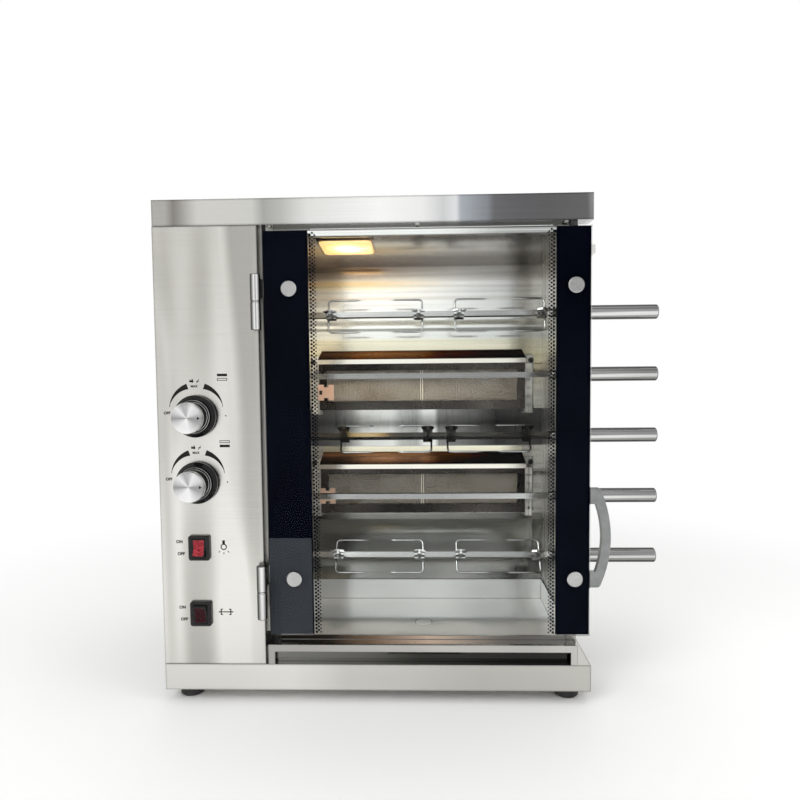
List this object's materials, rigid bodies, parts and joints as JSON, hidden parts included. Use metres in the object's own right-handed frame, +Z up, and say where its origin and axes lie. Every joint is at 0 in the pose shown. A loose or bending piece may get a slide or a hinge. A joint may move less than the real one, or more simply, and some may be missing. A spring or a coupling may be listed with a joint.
{
  "type": "gas rotisserie oven",
  "caption": "Gas rotisserie oven: steel case, side-hinged glass door, geared spits with meat forks, infrared burners, gas knobs, rocker switches, grease pan and sliding drip tray.",
  "frame": {"origin": "under the middle of the whole oven with its spits in, on the surface it stands on", "axes": "+X to the viewer's right (towards the spit handles), +Y from the glass door to the back, +Z up"},
  "size_m": [0.844, 0.4704, 0.822],
  "materials": {
    "outer_steel": "brushed stainless",
    "inner_steel": "polished stainless",
    "pan_steel": "plain stainless",
    "feet_rubber": "moulded",
    "fasteners": "plain",
    "gland_plastic": "moulded",
    "clear_glass": "clear toughened",
    "stile_black": "satin black",
    "satin_steel": "satin",
    "magnet": "dark",
    "burner_steel": "heat-toned",
    "plaque_ceramic": "matt ceramic",
    "igniter_copper": "coppery",
    "valve_brass": "machined",
    "pipe_aluminium": "drawn",
    "motor_paint": "semi-gloss",
    "gear_steel": "machined",
    "spit_steel": "polished stainless",
    "fork_chrome": "bright",
    "knob_black": "semi-gloss black",
    "knob_chrome": "bright",
    "rocker_red": "translucent red"
  },
  "bodies": {
    "oven": {"base_plinth": "outer_steel", "plinth_angles": "outer_steel", "left_side_panel": "outer_steel", "control_panel": "outer_steel", "right_side_panel": "outer_steel", "rear_panel": "outer_steel", "canopy": "outer_steel", "sill_lip": "outer_steel", "partition_wall": "inner_steel", "cavity_right_wall": "inner_steel", "cavity_ceiling": "inner_steel", "cavity_back_wall": "inner_steel", "lower_reflector": "inner_steel", "burner_hoods": "inner_steel", "lamp_housing": "inner_steel", "grease_pan": "pan_steel", "burner_brackets": "pan_steel", "rubber_feet": "feet_rubber", "sheet_screws": "fasteners", "hinge_pins": "fasteners", "gear_frame": "fasteners", "gas_manifold": "fasteners", "cable_gland": "gland_plastic", "lamp_glass": "clear_glass", "door_catch": "magnet", "burner_housings": "burner_steel", "burner_plaques": "plaque_ceramic", "igniters": "igniter_copper", "gas_valves": "valve_brass", "shaft_bushes": "valve_brass", "burner_pipes": "pipe_aluminium", "gearmotor": "motor_paint", "switch_bezels": "knob_black"},
    "door": {"door_glass": "clear_glass", "door_caps": "satin_steel", "door_stiles": "stile_black", "door_handle": "satin_steel", "hinge_knuckles": "fasteners"},
    "tray": {"drip_tray": "pan_steel"},
    "upper_plug": {"upper_valve_plug": "valve_brass"},
    "lower_plug": {"lower_valve_plug": "valve_brass"},
    "upper_knob": {"upper_knob_skirt": "knob_black", "upper_knob_cap": "knob_chrome"},
    "lower_knob": {"lower_knob_skirt": "knob_black", "lower_knob_cap": "knob_chrome"},
    "upper_switch": {"upper_rocker": "rocker_red"},
    "lower_switch": {"lower_rocker": "rocker_red"},
    "drive_1": {"gear_shaft_1": "gear_steel"},
    "spit_1": {"spit_1": "spit_steel", "spit_forks_1": "fork_chrome"},
    "drive_2": {"gear_shaft_2": "gear_steel"},
    "spit_2": {"spit_2": "spit_steel"},
    "drive_3": {"gear_shaft_3": "gear_steel"},
    "spit_3": {"spit_3": "spit_steel", "spit_forks_3": "fork_chrome"},
    "drive_4": {"gear_shaft_4": "gear_steel"},
    "spit_4": {"spit_4": "spit_steel"},
    "drive_5": {"gear_shaft_5": "gear_steel"},
    "spit_5": {"spit_5": "spit_steel", "spit_forks_5": "fork_chrome"}
  },
  "joints": [
    {"name": "door_hinge", "type": "hinge", "parent": "oven", "child": "door", "pos_m": [-0.25305, -0.19725, 0.189], "axis": [0, 0, -1], "range_deg": [0, 120]},
    {"name": "tray_slide", "type": "slide", "parent": "oven", "child": "tray", "axis": [0, -1, 0], "range_m": [0, 0.25]},
    {"name": "drive_1_turn", "type": "hinge", "parent": "oven", "child": "drive_1", "pos_m": [-0.28455, -0.06875, 0.6444], "axis": [1, 0, 0], "continuous": true},
    {"name": "drive_2_turn", "type": "hinge", "parent": "oven", "child": "drive_2", "pos_m": [-0.28455, -0.06875, 0.5364], "axis": [1, 0, 0], "continuous": true},
    {"name": "drive_3_turn", "type": "hinge", "parent": "oven", "child": "drive_3", "pos_m": [-0.28455, -0.06875, 0.4284], "axis": [1, 0, 0], "continuous": true},
    {"name": "drive_4_turn", "type": "hinge", "parent": "oven", "child": "drive_4", "pos_m": [-0.28455, -0.06875, 0.3204], "axis": [1, 0, 0], "continuous": true},
    {"name": "drive_5_turn", "type": "hinge", "parent": "oven", "child": "drive_5", "pos_m": [-0.28455, -0.06875, 0.2124], "axis": [1, 0, 0], "continuous": true},
    {"name": "spit_1_pull", "type": "slide", "parent": "drive_1", "child": "spit_1", "axis": [1, 0, 0], "range_m": [0, 0.011]},
    {"name": "spit_2_pull", "type": "slide", "parent": "drive_2", "child": "spit_2", "axis": [1, 0, 0], "range_m": [0, 0.011]},
    {"name": "spit_3_pull", "type": "slide", "parent": "drive_3", "child": "spit_3", "axis": [1, 0, 0], "range_m": [0, 0.011]},
    {"name": "spit_4_pull", "type": "slide", "parent": "drive_4", "child": "spit_4", "axis": [1, 0, 0], "range_m": [0, 0.011]},
    {"name": "spit_5_pull", "type": "slide", "parent": "drive_5", "child": "spit_5", "axis": [1, 0, 0], "range_m": [0, 0.011]},
    {"name": "upper_knob_turn", "type": "hinge", "parent": "oven", "child": "upper_plug", "pos_m": [-0.35555, -0.18875, 0.477], "axis": [0, -1, 0], "range_deg": [0, 180]},
    {"name": "upper_knob_push", "type": "slide", "parent": "upper_plug", "child": "upper_knob", "axis": [0, 1, 0], "range_m": [0, 0.003], "stiffness_N_per_m": 800, "springref_m": -0.001},
    {"name": "lower_knob_turn", "type": "hinge", "parent": "oven", "child": "lower_plug", "pos_m": [-0.35555, -0.18875, 0.369], "axis": [0, -1, 0], "range_deg": [0, 180]},
    {"name": "lower_knob_push", "type": "slide", "parent": "lower_plug", "child": "lower_knob", "axis": [0, 1, 0], "range_m": [0, 0.003], "stiffness_N_per_m": 800, "springref_m": -0.001},
    {"name": "upper_switch_rock", "type": "hinge", "parent": "oven", "child": "upper_switch", "pos_m": [-0.35605, -0.19175, 0.261], "axis": [1, 0, 0], "range_deg": [0, 20]},
    {"name": "lower_switch_rock", "type": "hinge", "parent": "oven", "child": "lower_switch", "pos_m": [-0.35605, -0.19175, 0.1515], "axis": [-1, 0, 0], "range_deg": [0, 20]}
  ],
  "couplings": [
    {"joint": "drive_1_turn", "follows": "drive_3_turn", "ratio": 1},
    {"joint": "drive_2_turn", "follows": "drive_3_turn", "ratio": -1},
    {"joint": "drive_4_turn", "follows": "drive_3_turn", "ratio": -1},
    {"joint": "drive_5_turn", "follows": "drive_3_turn", "ratio": 1}
  ]
}
